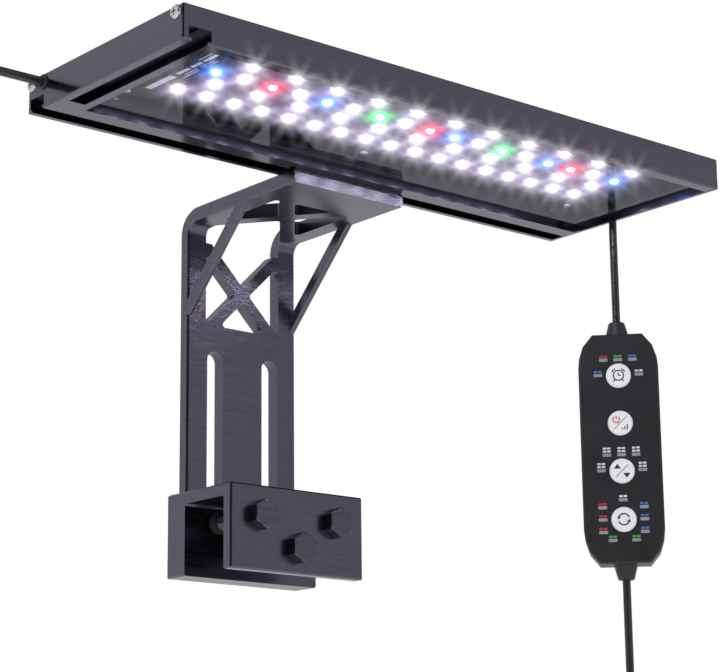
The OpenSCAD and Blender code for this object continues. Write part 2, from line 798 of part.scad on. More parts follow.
module bottom_relief() {
    hanging_from_case() mirror([0, 0, 1]) cord_relief();
}

module button(i) {
    r = button_diameter / 2;
    top = case_depth / 2 + button_proud;
    color([0.93, 0.93, 0.95]) in_case() translate([0, button_rows[i], 0])
        rotate_extrude() polygon([[0, button_stem_end], [1.5, button_stem_end],
            [1.5, front_wall - 0.1 - button_flange], [r + 0.9, front_wall - 0.1 - button_flange],
            [r + 0.9, front_wall - 0.1], [r, front_wall - 0.1], [r, top - 0.5], [r - 0.5, top], [0, top]]);
}

// Cords

module lamp_cord_out() {
    color(cord_grey) in_lamp() tube(cord_out_route, cord_radius, cord_sides);
}

module lamp_cord_in() {
    color(cord_grey) in_lamp() tube(cord_in_route, cord_radius, cord_sides, [0, 1, 0]);
}

// The flat turns of the coil, side by side
module lamp_cord_coil() {
    band = coil_turns * cord_diameter;
    color(cord_grey) in_lamp() translate([coil_center[0], coil_center[1], coil_floor])
        rotate_extrude() translate([coil_start - band, 0]) square([band, cord_diameter]);
}

// A flat strap round the coil's turns
module coil_tie() {
    band = coil_turns * cord_diameter;
    color(rubber) in_lamp() translate([coil_center[0], coil_center[1], coil_floor]) rotate(-90)
        translate([coil_start - band, 0, 0]) difference() {
            translate([-tie_thickness, -tie_width / 2, -tie_thickness])
                cube([band + 2 * tie_thickness, tie_width, cord_diameter + 2 * tie_thickness]);
            translate([0, -tie_width / 2 - past, 0]) cube([band, tie_width + 2 * past, cord_diameter]);
        }
}

module supply_cord_down() {
    color(cord_grey) hanging_from_case() tube(supply_down_route, cord_radius, cord_sides, [1, 0, 0]);
}

// The outline of the hank from the front: two runs joined by round folds
module hank_outline() {
    r = fold_radius + cord_radius;
    for (z = [hank_top, hank_top - hank_run]) translate([-fold_radius, z]) circle(r);
    translate([-fold_radius - r, hank_top - hank_run]) square([2 * r, hank_run]);
}

module supply_hank() {
    color(cord_grey) hanging_from_case()
        along_y(-cord_radius, hank_turns * hank_step + cord_radius) hank_outline();
}

module hank_tie() {
    wide = 2 * (fold_radius + cord_radius);
    deep = hank_turns * hank_step + cord_diameter;
    color(rubber) hanging_from_case()
        translate([-fold_radius - wide / 2, -cord_radius, hank_top - hank_run / 2]) difference() {
            translate([-tie_thickness, -tie_thickness, 0])
                cube([wide + 2 * tie_thickness, deep + 2 * tie_thickness, tie_width]);
            translate([0, 0, -past]) cube([wide, deep, tie_width + 2 * past]);
        }
}

module supply_cord_end() {
    color(cord_grey) hanging_from_case() tube(supply_end_route, cord_radius, cord_sides, [1, 0, 0]);
}

module at_plug() {
    hanging_from_case() translate([0, hank_turns * hank_step, plug_from]) mirror([0, 0, 1]) children();
}

module dc_plug_body() {
    color(dark_plastic) at_plug() rotate_extrude() polygon([[0, 0], [2.8, 0], [3.4, 9],
        [plug_radius, 10.5], [plug_radius, plug_length - 0.6], [plug_radius - 0.6, plug_length],
        [0, plug_length]]);
}

module dc_plug_barrel() {
    color(steel) at_plug() translate([0, 0, plug_length]) rotate_extrude()
        polygon([[barrel_bore, 0], [barrel_radius, 0], [barrel_radius, barrel_length - 0.4],
            [barrel_radius - 0.4, barrel_length], [barrel_bore, barrel_length]]);
}

clamp_body();
column_screws();
column_washers();
bracket();
lamp_housing();
left_end_block();
right_end_cap();
led_board();
white_leds();
red_leds();
green_leds();
blue_leds();
lens_cover();
cover_seal();
thermal_pad();
board_screws();
end_block_screws();
end_cap_screws();
cable_gland();
lead_wires();
wire_connector();
clamp_screw(0);  // clamp_screw_left
clamp_screw(1);  // clamp_screw_middle
clamp_screw(2);  // clamp_screw_right
screw_pad(0);  // screw_pad_left
screw_pad(1);  // screw_pad_middle
screw_pad(2);  // screw_pad_right
controller_front();
controller_back();
controller_board();
indicator_lights();
tact_switches();
controller_screws();
top_relief();
bottom_relief();
button(0);  // button_1
button(1);  // button_2
button(2);  // button_3
button(3);  // button_4
lamp_cord_out();
lamp_cord_coil();
lamp_cord_in();
coil_tie();
supply_cord_down();
supply_hank();
supply_cord_end();
hank_tie();
dc_plug_body();
dc_plug_barrel();
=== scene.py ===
import math
import random

import bmesh
import bpy
from mathutils import Matrix, Vector


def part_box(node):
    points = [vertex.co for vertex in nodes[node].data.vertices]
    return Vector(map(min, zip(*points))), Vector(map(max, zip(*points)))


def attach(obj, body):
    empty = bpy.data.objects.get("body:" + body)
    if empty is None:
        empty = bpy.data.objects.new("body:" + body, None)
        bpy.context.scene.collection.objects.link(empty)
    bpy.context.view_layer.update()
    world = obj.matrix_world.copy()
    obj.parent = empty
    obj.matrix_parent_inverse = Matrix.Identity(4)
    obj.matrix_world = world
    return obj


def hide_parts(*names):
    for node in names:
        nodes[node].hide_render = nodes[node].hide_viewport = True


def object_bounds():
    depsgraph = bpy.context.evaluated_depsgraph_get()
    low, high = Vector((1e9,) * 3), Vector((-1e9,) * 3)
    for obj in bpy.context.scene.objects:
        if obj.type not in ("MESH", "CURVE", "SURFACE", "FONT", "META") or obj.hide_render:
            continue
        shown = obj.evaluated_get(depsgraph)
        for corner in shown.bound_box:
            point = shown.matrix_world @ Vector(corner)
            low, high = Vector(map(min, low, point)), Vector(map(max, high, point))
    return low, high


# LED aquarium light on a bracket and rim clamp, with an in-line controller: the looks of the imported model.
# Lengths are in millimetres along the lamp's or the controller's own axes. in_lamp(), in_case() and
# hanging() turn them into metres in the model's frame.

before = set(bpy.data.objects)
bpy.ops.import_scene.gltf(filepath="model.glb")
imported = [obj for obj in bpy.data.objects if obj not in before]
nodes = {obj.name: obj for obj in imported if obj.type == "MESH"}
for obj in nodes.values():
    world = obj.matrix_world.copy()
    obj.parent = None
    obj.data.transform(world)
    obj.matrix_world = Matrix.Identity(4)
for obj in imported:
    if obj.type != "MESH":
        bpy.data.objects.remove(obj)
cad_low, cad_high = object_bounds()
MM = 0.001

# ---------------------------------------------------------------- places

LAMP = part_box("left_end_block")[0]                            # the lamp's lower front left corner
BOARD_AT = sum(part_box("controller_board"), Vector()) / 2
CASE_TURN = math.radians(-47.5)
BOARD_MIDDLE = -1.8                                           # the board's middle in the case's depth
TURN = Matrix.Rotation(CASE_TURN, 4, "Z")
CASE_MIDDLE = BOARD_AT - TURN @ (Vector((0, -BOARD_MIDDLE, 0)) * MM)


def in_lamp(x, y, z):
    """A point of the lamp head: along it, back from its front and up from its underside."""
    return LAMP + Vector((x, y, z)) * MM


def in_case(x, y, z):
    """A point of the controller: across its face, up it and out of it, from its middle."""
    return CASE_MIDDLE + TURN @ (Vector((x, -z, y)) * MM)


def hanging(x, y, z):
    """A point below the controller: across, into the case and up, from its middle."""
    return in_case(x, z, -y)


# ---------------------------------------------------------------- camera

# The photograph's viewing angle: turned about Z, tilted up from the level, then rolled, in degrees
CAMERA_AT = (-0.60105, -0.77376, -0.16019)
CAMERA_TURN, CAMERA_TILT, CAMERA_ROLL = -40.242, 13.765, -0.611
camera = bpy.data.objects.new("camera", bpy.data.cameras.new("camera"))
bpy.context.scene.collection.objects.link(camera)
camera.data.lens = 109.2
camera.data.sensor_width = 36
camera.data.clip_start, camera.data.clip_end = 0.05, 20
camera.matrix_world = (Matrix.Translation(CAMERA_AT)
                       @ Matrix.Rotation(math.radians(CAMERA_TURN), 4, "Z")
                       @ Matrix.Rotation(math.radians(90 + CAMERA_TILT), 4, "X")
                       @ Matrix.Rotation(math.radians(CAMERA_ROLL), 4, "Z"))
bpy.context.scene.camera = camera

# ---------------------------------------------------------------- mesh helpers


def piece(name, verts, faces, material, body, slot_name, smooth=True, angle=35):
    """A mesh piece with one material, which rides on a body."""
    mesh = bpy.data.meshes.new(name)
    mesh.from_pydata([tuple(v) for v in verts], [], faces)
    made = bmesh.new()
    made.from_mesh(mesh)
    bmesh.ops.recalc_face_normals(made, faces=made.faces)
    made.to_mesh(mesh)
    made.free()
    obj = bpy.data.objects.new(name, mesh)
    bpy.context.scene.collection.objects.link(obj)
    mesh.materials.append(material)
    if smooth:
        shade(obj, angle)
    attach(obj, body)
    return obj


def shade(obj, angle=35):
    """Smooth shading with the sharp edges kept."""
    mesh = obj.data
    made = bmesh.new()
    made.from_mesh(mesh)
    limit = math.radians(angle)
    for edge in made.edges:
        edge.smooth = len(edge.link_faces) == 2 and edge.calc_face_angle(0) < limit
    for face in made.faces:
        face.smooth = True
    made.to_mesh(mesh)
    made.free()


class Build:
    """Gathers vertices and faces of several shapes into one mesh."""

    def __init__(self):
        self.verts, self.faces = [], []

    def add(self, verts, faces, place=lambda p: p):
        start = len(self.verts)
        self.verts += [place(Vector(v)) for v in verts]
        self.faces += [[start + i for i in f] for f in faces]
        return self

    def piece(self, name, material, body, slot_name, **more):
        return piece(name, self.verts, self.faces, material, body, slot_name, **more)


def grid(rings, closed_ends=True):
    """Faces between rings of equal count, and the rings' points."""
    count = len(rings[0])
    verts = [p for ring in rings for p in ring]
    faces = []
    for i in range(len(rings) - 1):
        here, ahead = i * count, (i + 1) * count
        for k in range(count):
            after = (k + 1) % count
            faces.append([here + k, here + after, ahead + after, ahead + k])
    if closed_ends:
        faces.append(list(range(count))[::-1])
        faces.append([(len(rings) - 1) * count + k for k in range(count)])
    return verts, faces


def lathe(profile, sides=48, closed=False):
    """A turned shape about Z from (radius, height) pairs."""
    turns = [2 * math.pi * k / sides for k in range(sides)]
    rings = [[(r * math.cos(a), r * math.sin(a), z) for a in turns] for r, z in profile]
    verts, faces = grid(rings, closed_ends=not closed)
    if closed:
        last = (len(rings) - 1) * sides
        faces += [[last + k, last + (k + 1) % sides, (k + 1) % sides, k] for k in range(sides)]
    return verts, faces


def hex_head(flats, height, bevel=0.45, sides=96):
    """A hexagon head with the usual turned bevel round its top, from height 0 up."""
    apothem, corner = flats / 2, flats / math.sqrt(3)
    rings = []
    for z in (0, 0.25, *(height - bevel + bevel * t / 6 for t in range(7))):
        cone = corner - 0.35 + 0.35 * min(z / 0.25, 1) - max(0, z - (height - bevel)) * 2.2
        ring = []
        for k in range(sides):
            a = 2 * math.pi * k / sides
            off = (a + math.pi / 6) % (math.pi / 3) - math.pi / 6
            r = min(apothem / math.cos(off), cone)
            ring.append((r * math.cos(a), r * math.sin(a), z))
        rings.append(ring)
    return grid(rings)


def threaded(radius, pitch, length, sides=40, steps=6):
    """A screw shank with a helical thread, from height 0 down."""
    depth = 0.6 * pitch
    rings = []
    count = int(length / pitch * steps)
    for i in range(count + 1):
        z = -length * i / count
        ring = []
        for k in range(sides):
            turn = (z / pitch - k / sides) % 1
            groove = 1 - min(1, abs(turn - 0.5) * 2 / 0.86)
            r = radius - depth * groove
            end = min(1, (length + z) / 0.9)
            r = min(r, radius - depth * (1 - end))
            if -z < 0.8:
                r = radius - 0.12
            a = 2 * math.pi * k / sides
            ring.append((r * math.cos(a), r * math.sin(a), z))
        rings.append(ring)
    return grid(rings)


def smooth_route(points, parts=4):
    """A smooth line through the points, as short straight steps."""
    p = [Vector(q) for q in points]
    p = [p[0] * 2 - p[1]] + p + [p[-1] * 2 - p[-2]]
    line = []
    for i in range(1, len(p) - 2):
        for k in range(parts):
            t = k / parts
            line.append(0.5 * (2 * p[i] + (p[i + 1] - p[i - 1]) * t
                               + (2 * p[i - 1] - 5 * p[i] + 4 * p[i + 1] - p[i + 2]) * t * t
                               + (3 * p[i] - p[i - 1] - 3 * p[i + 1] + p[i + 2]) * t ** 3))
    return line + [p[-2]]


def cord_curve(name, line, diameter, material, body):
    """A round cord along a line of points."""
    data = bpy.data.curves.new(name, "CURVE")
    data.dimensions = "3D"
    data.bevel_depth = diameter / 2
    data.bevel_resolution = 5
    data.use_fill_caps = True
    spline = data.splines.new("POLY")
    spline.points.add(len(line) - 1)
    for point, at in zip(spline.points, line):
        point.co = (*at, 1)
    data.materials.append(material)
    obj = bpy.data.objects.new(name, data)
    bpy.context.scene.collection.objects.link(obj)
    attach(obj, body)
    return obj


def strap(name, half_x, half_y, radius, width, thickness, place, material):
    """A flat strap round a bundle: a rounded loop that overlaps itself, with a rounded free end."""
    loop, corner = [], 8
    for cx, cy, start in ((1, 1, 0), (-1, 1, 90), (-1, -1, 180), (1, -1, 270)):
        for k in range(corner + 1):
            a = math.radians(start + 90 * k / corner)
            loop.append(Vector((cx * (half_x - radius) + radius * math.cos(a),
                                cy * (half_y - radius) + radius * math.sin(a), 0)))
    build = Build()

    def band(points, low, high, closed):
        count = len(points)
        rings = []
        for i, p in enumerate(points):
            a, b = points[(i - 1) % count], points[(i + 1) % count]
            if not closed:
                a, b = points[max(i - 1, 0)], points[min(i + 1, count - 1)]
            t = (b - a).normalized()
            n = Vector((t.y, -t.x, 0))
            w = width / 2
            rings.append([p + n * low + Vector((0, 0, -w)), p + n * high + Vector((0, 0, -w)),
                          p + n * high + Vector((0, 0, w)), p + n * low + Vector((0, 0, w))])
        if closed:
            rings.append(rings[0])
        verts, faces = grid(rings, closed_ends=not closed)
        build.add(verts, faces, place)

    band(loop, 0, thickness, True)
    flap = loop[corner // 2 + 1: corner * 2]
    band(flap, thickness, thickness * 1.6, False)
    return build.piece(name, material, "lamp", "black_rubber")


# ---------------------------------------------------------------- materials


class Nodes:
    """Short names for the nodes that the materials use."""

    def __init__(self, name):
        self.material = bpy.data.materials.new(name)
        self.material.use_nodes = True
        self.tree = self.material.node_tree
        self.tree.nodes.clear()
        self.out = self.add("ShaderNodeOutputMaterial")

    def add(self, kind, **settings):
        node = self.tree.nodes.new(kind)
        for key, value in settings.items():
            setattr(node, key, value)
        return node

    def link(self, a, b):
        self.tree.links.new(a, b)

    def coords(self, scale=(1, 1, 1), turn=(0, 0, 0)):
        """Object coordinates, turned and then stretched."""
        where = self.add("ShaderNodeTexCoord").outputs["Object"]
        mapping = self.add("ShaderNodeMapping")
        mapping.inputs["Rotation"].default_value = turn
        mapping.inputs["Scale"].default_value = scale
        self.link(where, mapping.inputs["Vector"])
        return mapping.outputs["Vector"]

    def noise(self, vector, scale, detail=4, rough=0.6):
        """Noise, as a value from 0 to 1."""
        node = self.add("ShaderNodeTexNoise")
        node.inputs["Scale"].default_value = scale
        node.inputs["Detail"].default_value = detail
        node.inputs["Roughness"].default_value = rough
        self.link(vector, node.inputs["Vector"])
        return node.outputs["Fac"]

    def ramp(self, value, stops):
        """A colour ramp of (position, colour) stops, where a colour may be one number."""
        node = self.add("ShaderNodeValToRGB")
        points = node.color_ramp.elements
        while len(points) < len(stops):
            points.new(0.5)
        for point, (at, colour) in zip(points, stops):
            point.position = at
            point.color = (*([colour] * 3 if isinstance(colour, (int, float)) else colour), 1)
        self.link(value, node.inputs["Fac"])
        return node.outputs["Color"]

    def math(self, operation, a, b):
        """Two numbers or outputs, joined by a sum."""
        node = self.add("ShaderNodeMath", operation=operation)
        for socket, value in zip(node.inputs, (a, b)):
            if isinstance(value, (int, float)):
                socket.default_value = value
            else:
                self.link(value, socket)
        return node.outputs["Value"]

    def bump(self, height, strength, distance):
        node = self.add("ShaderNodeBump")
        node.inputs["Strength"].default_value = strength
        node.inputs["Distance"].default_value = distance
        self.link(height, node.inputs["Height"])
        return node.outputs["Normal"]

    def principled(self, **values):
        """A Principled shader: numbers are set on its sockets, outputs are linked to them."""
        shader = self.add("ShaderNodeBsdfPrincipled")
        for key, value in values.items():
            socket = shader.inputs[key.replace("_", " ")]
            if isinstance(value, bpy.types.NodeSocket):
                self.link(value, socket)
            else:
                socket.default_value = (*value, 1) if isinstance(value, tuple) else value
        return shader

    def done(self, shader):
        self.link(shader.outputs[0], self.out.inputs["Surface"])
        return self.material


def brushed_metal(name, dark, light, roughness, bump):
    """Anodised metal, brushed along X, with fine grain on the ends."""
    m = Nodes(name)
    long_streaks = m.noise(m.coords((14, 900, 900)), 1.0, 3, 0.65)
    fine_streaks = m.noise(m.coords((60, 3600, 3600)), 1.0, 2, 0.5)
    grain = m.noise(m.coords(), 2600, 2, 0.5)
    clouds = m.noise(m.coords((1, 1, 1)), 18, 2, 0.5)
    mixed = m.math("ADD", m.math("MULTIPLY", long_streaks, 0.5), m.math("MULTIPLY", fine_streaks, 0.38))
    mixed = m.math("ADD", mixed, m.math("MULTIPLY", grain, 0.12))
    shown = m.math("ADD", m.math("MULTIPLY", mixed, 0.85), m.math("MULTIPLY", clouds, 0.15))
    colour = m.ramp(shown, [(0.33, dark), (0.67, light)])
    rough = m.ramp(mixed, [(0.3, roughness[0]), (0.7, roughness[1])])
    return m.done(m.principled(Base_Color=colour, Metallic=1.0, Roughness=rough,
                               Normal=m.bump(mixed, bump, 0.0002)))


def plastic(name, dark, light, roughness=(0.35, 0.5), scale=900, bump=0.08,
            sheen=0.0, coat=0.0, specular=0.5):
    """Moulded plastic with fine texture and slow, faint unevenness."""
    m = Nodes(name)
    fine = m.noise(m.coords(), scale, 3, 0.6)
    slow = m.noise(m.coords(), 45, 2, 0.5)
    both = m.math("ADD", m.math("MULTIPLY", fine, 0.6), m.math("MULTIPLY", slow, 0.4))
    return m.done(m.principled(
        Base_Color=m.ramp(both, [(0.35, dark), (0.65, light)]),
        Roughness=m.ramp(both, [(0.3, roughness[0]), (0.7, roughness[1])]),
        Normal=m.bump(fine, bump, 0.0001),
        Sheen_Weight=sheen, Coat_Weight=coat, Specular_IOR_Level=specular))


def plated(name, dark, light, roughness=(0.18, 0.3)):
    """Plated steel with faint turning marks and spots."""
    m = Nodes(name)
    marks = m.noise(m.coords((1, 1, 1)), 1800, 4, 0.6)
    stains = m.noise(m.coords(), 220, 3, 0.5)
    both = m.math("ADD", m.math("MULTIPLY", marks, 0.5), m.math("MULTIPLY", stains, 0.5))
    return m.done(m.principled(Base_Color=m.ramp(both, [(0.35, dark), (0.65, light)]), Metallic=1.0,
                               Roughness=m.ramp(both, [(0.3, roughness[0]), (0.7, roughness[1])]),
                               Normal=m.bump(marks, 0.06, 0.0001)))


def lit(name, colour, strength, edge):
    """A lit package or lens, which glows in two close colours in fine speckles."""
    m = Nodes(name)
    speckle = m.noise(m.coords(), 3000, 2, 0.5)
    tint = m.ramp(speckle, [(0.3, edge), (0.7, colour)])
    return m.done(m.principled(Base_Color=tint, Roughness=0.35,
                               Emission_Color=tint, Emission_Strength=strength))


def board_finish(name):
    """Black satin solder mask: fibre weave showing faintly, and slow unevenness."""
    m = Nodes(name)
    weave = m.noise(m.coords((1400, 1400, 1400)), 1.0, 2, 0.5)
    slow = m.noise(m.coords(), 60, 2, 0.5)
    both = m.math("ADD", m.math("MULTIPLY", weave, 0.5), m.math("MULTIPLY", slow, 0.5))
    colour = m.ramp(both, [(0.3, (0.010, 0.010, 0.013)), (0.7, (0.020, 0.019, 0.025))])
    return m.done(m.principled(Base_Color=colour, Roughness=m.ramp(weave, [(0.3, 0.55), (0.7, 0.7)]),
                               Specular_IOR_Level=0.3,
                               Normal=m.bump(weave, 0.05, 0.0001)))


def clear_cover_finish(name):
    """Clear polished sheet: see-through, with a mirror-like gloss that grows at low angles."""
    m = Nodes(name)
    fresnel = m.add("ShaderNodeFresnel")
    fresnel.inputs["IOR"].default_value = 1.45
    smudge = m.noise(m.coords(), 30, 3, 0.5)
    outside = m.math("SUBTRACT", 1, m.add("ShaderNodeNewGeometry").outputs["Backfacing"])
    amount = m.math("MULTIPLY", m.math("MULTIPLY", fresnel.outputs["Fac"], 0.72), outside)
    gloss = m.principled(Base_Color=(0.82, 0.78, 0.93), Metallic=1.0,
                         Roughness=m.ramp(smudge, [(0.3, 0.02), (0.7, 0.06)]))
    clear = m.add("ShaderNodeBsdfTransparent")
    clear.inputs["Color"].default_value = (0.97, 0.97, 0.99, 1)
    mix = m.add("ShaderNodeMixShader")
    m.link(amount, mix.inputs["Fac"])
    m.link(clear.outputs[0], mix.inputs[1])
    m.link(gloss.outputs[0], mix.inputs[2])
    return m.done(mix)


def haze_finish(name):
    """Light spread round the packages, from the mesh's own colours, with a faint unevenness."""
    m = Nodes(name)
    glow = m.add("ShaderNodeAttribute", attribute_name="Glow")
    uneven = m.ramp(m.noise(m.coords(), 260, 3, 0.5), [(0.3, 0.93), (0.7, 1.0)])
    alpha = m.math("MULTIPLY", glow.outputs["Alpha"], uneven)
    shine = m.principled(Base_Color=(0, 0, 0), Roughness=1.0, Specular_IOR_Level=0.0,
                         Emission_Color=glow.outputs["Color"], Emission_Strength=1.0)
    mix = m.add("ShaderNodeMixShader")
    m.link(alpha, mix.inputs["Fac"])
    m.link(m.add("ShaderNodeBsdfTransparent").outputs[0], mix.inputs[1])
    m.link(shine.outputs[0], mix.inputs[2])
    return m.done(mix)


METAL_DARK, METAL_LIGHT = (0.112, 0.106, 0.139), (0.154, 0.146, 0.189)
anodised = brushed_metal("anodised_metal", METAL_DARK, METAL_LIGHT, (0.22, 0.30), 0.02)
housing_metal = brushed_metal("housing_metal", METAL_DARK, METAL_LIGHT, (0.10, 0.16), 0.02)
black_steel = brushed_metal("black_steel", (0.09, 0.086, 0.11), (0.15, 0.143, 0.18), (0.25, 0.36), 0.10)
zinc = plated("zinc_plate", (0.62, 0.62, 0.64), (0.82, 0.82, 0.84))
nickel = plated("nickel_plate", (0.66, 0.65, 0.62), (0.82, 0.81, 0.78), (0.1, 0.2))
cord_finish = plastic("cord_jacket", (0.012, 0.012, 0.014), (0.024, 0.024, 0.028),
                      (0.2, 0.32), 1400, 0.08, coat=0.3)
case_finish = plastic("case_plastic", (0.015, 0.015, 0.018), (0.024, 0.024, 0.029),
                      (0.38, 0.52), 1100, 0.12)
white_plastic = plastic("button_white", (0.90, 0.90, 0.92), (0.96, 0.96, 0.97),
                        (0.3, 0.42), 700, 0.05, coat=0.1)
black_rubber = plastic("black_rubber", (0.008, 0.008, 0.008), (0.02, 0.02, 0.02),
                       (0.6, 0.8), 1500, 0.2, sheen=0.05, specular=0.3)
strap_finish = plastic("strap_weave", (0.010, 0.010, 0.011), (0.030, 0.030, 0.033),
                       (0.7, 0.9), 2400, 0.5, sheen=0.3, specular=0.2)
grey_plastic = plastic("gland_plastic", (0.020, 0.019, 0.024), (0.036, 0.035, 0.042), (0.4, 0.5))
wire_finish = plastic("wire_insulation", (0.40, 0.02, 0.02), (0.55, 0.04, 0.03), (0.35, 0.45))
ivory = plastic("connector_plastic", (0.72, 0.71, 0.66), (0.84, 0.83, 0.78), (0.4, 0.5))
window_finish = plastic("indicator_plastic", (0.24, 0.24, 0.26), (0.42, 0.42, 0.45),
                        (0.35, 0.5), 2200, 0.2, coat=0.3)
circuit_green = plastic("circuit_green", (0.010, 0.07, 0.035), (0.02, 0.13, 0.06), (0.3, 0.45), 500)
pad_finish = plastic("thermal_sheet", (0.42, 0.45, 0.48), (0.56, 0.58, 0.60), (0.7, 0.85), 800, 0.2)
board_black = board_finish("board_black")
cover_finish = clear_cover_finish("clear_cover")
ink_dark = plastic("ink_dark", (0.012, 0.012, 0.013), (0.03, 0.03, 0.032), (0.5, 0.6), 1800)
ink_red = plastic("ink_red", (0.50, 0.02, 0.03), (0.66, 0.04, 0.05), (0.5, 0.6), 1800)
ink_green = plastic("ink_green", (0.02, 0.42, 0.05), (0.04, 0.56, 0.08), (0.5, 0.6), 1800)
ink_blue = plastic("ink_blue", (0.04, 0.16, 0.62), (0.07, 0.23, 0.78), (0.5, 0.6), 1800)
ink_white = plastic("ink_white", (0.66, 0.66, 0.68), (0.85, 0.85, 0.86), (0.5, 0.6), 1800)
chip_finish = plastic("chip_body", (0.02, 0.02, 0.02), (0.05, 0.05, 0.05), (0.3, 0.4), 2500)

# The colours of each kind of light: its lens and its package
LIGHTS = {
    "white": ((1.0, 0.98, 1.0), (0.86, 0.86, 1.0)),
    "red": ((1.0, 0.16, 0.20), (1.0, 0.03, 0.05)),
    "green": ((0.20, 1.0, 0.38), (0.02, 0.85, 0.16)),
    "blue": ((0.25, 0.48, 1.0), (0.03, 0.14, 1.0)),
}

# ---------------------------------------------------------------- cords

CORD = 3.8                                                    # diameter of both cords
COIL_AT, COIL_START, COIL_FLOOR = (100, 62), 31, 17.1
COIL_POINTS, COIL_SWEEP = 71, 20                              # points, and degrees from one to the next
RISE, RISE_FROM, RISE_OVER = 1.8, 1360, 80                    # its end's rise, and the degrees it takes
CORD_OUT = [[-0.8, 97, 10.9], [-11, 97, 10.9], [-22, 97, 10.9], [-30, 99, 11.8],
            [-35.5, 104, 14], [-37.5, 111, 17], [-35.5, 118.5, 20], [-30, 123.5, 22.4],
            [-22, 125.5, 23.2], [-12, 125.5, 23.2], [-2, 125.5, 23.2], [8, 125, 23], [17, 123, 22.4],
            [26, 119.6, 21.3], [34, 115.4, 20], [42, 110.4, 18.8], [50, 105.4, 17.8], [58, 101.2, 17.2],
            [67, 97.6, 17.1], [77, 94.9, 17.1], [88, 93.4, 17.1], [100, 93, 17.1]]
CORD_IN = [[100, 77.8, 18.9], [104, 77.9, 20], [109, 78, 20.9], [119, 78.2, 21.1],
           [129, 78.3, 21], [139, 78.2, 20], [150, 77.8, 18], [161, 77.3, 16.7], [172, 76.6, 16.4],
           [183, 75.9, 16.4], [194, 75.2, 16.4], [205, 74.5, 16.4], [216, 73.9, 16.4], [227, 73.3, 16.4],
           [238, 72.8, 16.4], [249, 72.4, 16.4], [258, 72.1, 16.6], [267, 72, 17.3], [275, 72, 18.7],
           [283, 72, 20.4], [291, 72, 21.2], [298.4, 72, 19.2], [304, 72, 13.6], [306, 72, 6],
           [306, 72, -4], [306, 72, -14], [306, 72, -25], [306, 72, -36], [306, 72, -47.8]]


def step(t):
    """A smooth step from 0 to 1."""
    t = max(0.0, min(1.0, t))
    return t * t * (3 - 2 * t)


def coil_turns():
    """Four flat turns that spiral inwards, rising at the end to cross over themselves."""
    points = []
    for k in range(1, COIL_POINTS + 1):
        swept = COIL_SWEEP * k
        r = COIL_START - CORD * swept / 360
        a = math.radians(90 - swept)
        points.append([COIL_AT[0] + r * math.cos(a), COIL_AT[1] + r * math.sin(a),
                       COIL_FLOOR + RISE * step((swept - RISE_FROM) / RISE_OVER)])
    return points


lamp_cord = cord_curve("lamp_cord", [in_lamp(*p) for p in smooth_route(CORD_OUT + coil_turns() + CORD_IN)],
                       CORD * MM, cord_finish, "lamp")
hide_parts("lamp_cord_out", "lamp_cord_coil", "lamp_cord_in")


def coil_place(p):
    """The strap's loop lies across the turns at the coil's near side."""
    middle = COIL_START - 2 * CORD
    return in_lamp(COIL_AT[0] + p.z, COIL_AT[1] - middle + p.x, COIL_FLOOR + p.y)


coil_strap = strap("coil_strap", 2 * CORD, CORD / 2, 1.6, 5, 0.45, coil_place, strap_finish)
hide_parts("coil_tie")

# The hank: radius of its folds, length of its runs, its turns and their spacing, and heights below the case
FOLD, RUN, TURNS, STEP = 11.5, 57, 4, 3.9
CASE_END, HANK_TOP, PLUG_TOP = -61.5, -125, -205
AROUND, ALONG = 12, 5                                         # points round a fold and along a run


def hank_line():
    """Down from the case, four long turns folded side by side, then straight down to the plug."""
    points = [[0, 0, z] for z in (CASE_END, -72, -83, -94, -105, -116)]
    for turn in range(TURNS):
        y = turn * STEP
        for k in range(ALONG):
            points.append([0, y, HANK_TOP - RUN * k / ALONG])
        for k in range(AROUND + 1):
            a = math.pi * k / AROUND
            points.append([-FOLD + FOLD * math.cos(a), y, HANK_TOP - RUN - FOLD * math.sin(a)])
        for k in range(1, ALONG):
            points.append([-2 * FOLD, y, HANK_TOP - RUN + RUN * k / ALONG])
        for k in range(AROUND):
            a = math.pi * (1 - k / AROUND)
            points.append([-FOLD + FOLD * math.cos(a), y + STEP * step(k / AROUND),
                           HANK_TOP + FOLD * math.sin(a)])
    y = TURNS * STEP
    points += [[0, y, HANK_TOP - 11.5 * k] for k in range(6)]
    return points + [[0, y, PLUG_TOP + 10], [0, y, PLUG_TOP]]


supply_cord = cord_curve("supply_cord", [hanging(*p) for p in smooth_route(hank_line(), 3)],
                         CORD * MM, cord_finish, "lamp")
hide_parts("supply_cord_down", "supply_hank", "supply_cord_end")


def hank_place(p):
    """The strap's loop lies round the hank's runs at half their height."""
    return hanging(-FOLD + p.x, TURNS * STEP / 2 - p.y, HANK_TOP - RUN / 2 + p.z)


hank_strap = strap("hank_strap", FOLD + CORD / 2, (TURNS * STEP + CORD) / 2, 2.4, 6, 0.5,
                   hank_place, strap_finish)
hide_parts("hank_tie")


def plug_place(p):
    """The plug points straight down from the cord's end."""
    return hanging(p.x, TURNS * STEP - p.y, PLUG_TOP - p.z)


